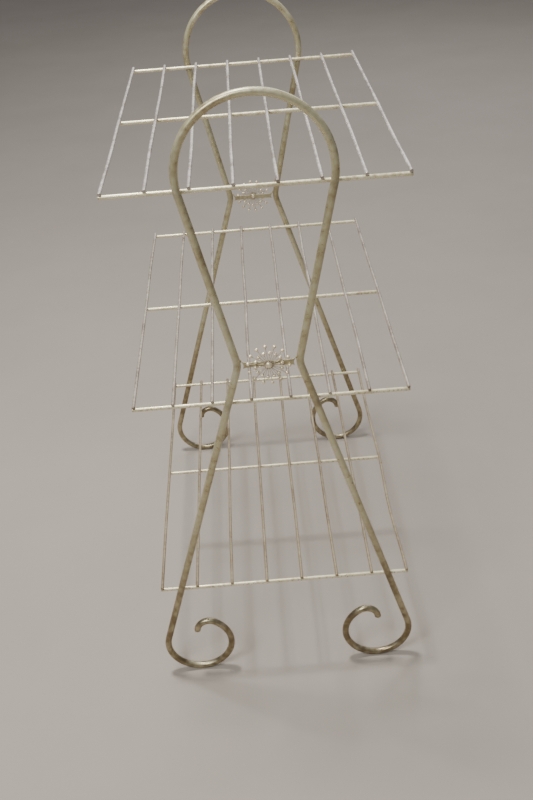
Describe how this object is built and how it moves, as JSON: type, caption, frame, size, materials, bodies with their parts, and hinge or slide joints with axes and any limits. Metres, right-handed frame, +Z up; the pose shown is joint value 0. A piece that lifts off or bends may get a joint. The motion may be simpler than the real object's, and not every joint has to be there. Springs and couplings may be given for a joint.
{
  "type": "magazine rack",
  "caption": "Tiered wire magazine rack with bent-rod loop end frames, scroll feet, flat welded wire shelves and a starburst ornament at each frame's waist.",
  "frame": {"origin": "on the floor, in the middle of the rack's footprint", "axes": "+Z up, +Y along the shelves from the front frame to the back frame, +X across the shelves"},
  "size_m": [0.3604, 0.5832, 0.8426],
  "materials": {
    "frame_paint": "satin brass-coloured paint on steel rod, worn darker in places",
    "bar_paint": "satin brass-coloured paint on steel wire",
    "wire_paint": "satin pale brass-coloured paint on steel wire",
    "star_paint": "satin pale gold paint on pressed steel and beads"
  },
  "bodies": {
    "root": {"front_end_frame": "frame_paint", "back_end_frame": "frame_paint", "top_shelf_front_bar": "bar_paint", "top_shelf_middle_bar": "bar_paint", "top_shelf_back_bar": "bar_paint", "middle_shelf_front_bar": "bar_paint", "middle_shelf_middle_bar": "bar_paint", "middle_shelf_back_bar": "bar_paint", "bottom_shelf_front_bar": "bar_paint", "bottom_shelf_middle_bar": "bar_paint", "bottom_shelf_back_bar": "bar_paint", "top_shelf_wire_1": "wire_paint", "top_shelf_wire_2": "wire_paint", "top_shelf_wire_3": "wire_paint", "top_shelf_wire_4": "wire_paint", "top_shelf_wire_5": "wire_paint", "top_shelf_wire_6": "wire_paint", "top_shelf_wire_7": "wire_paint", "top_shelf_wire_8": "wire_paint", "middle_shelf_wire_1": "wire_paint", "middle_shelf_wire_2": "wire_paint", "middle_shelf_wire_3": "wire_paint", "middle_shelf_wire_4": "wire_paint", "middle_shelf_wire_5": "wire_paint", "middle_shelf_wire_6": "wire_paint", "middle_shelf_wire_7": "wire_paint", "middle_shelf_wire_8": "wire_paint", "bottom_shelf_wire_1": "wire_paint", "bottom_shelf_wire_2": "wire_paint", "bottom_shelf_wire_3": "wire_paint", "bottom_shelf_wire_4": "wire_paint", "bottom_shelf_wire_5": "wire_paint", "bottom_shelf_wire_6": "wire_paint", "bottom_shelf_wire_7": "wire_paint", "bottom_shelf_wire_8": "wire_paint", "front_strap": "frame_paint", "front_long_star": "star_paint", "front_short_star": "star_paint", "front_rivet": "star_paint", "back_strap": "frame_paint", "back_long_star": "star_paint", "back_short_star": "star_paint", "back_rivet": "star_paint"}
  },
  "joints": []
}
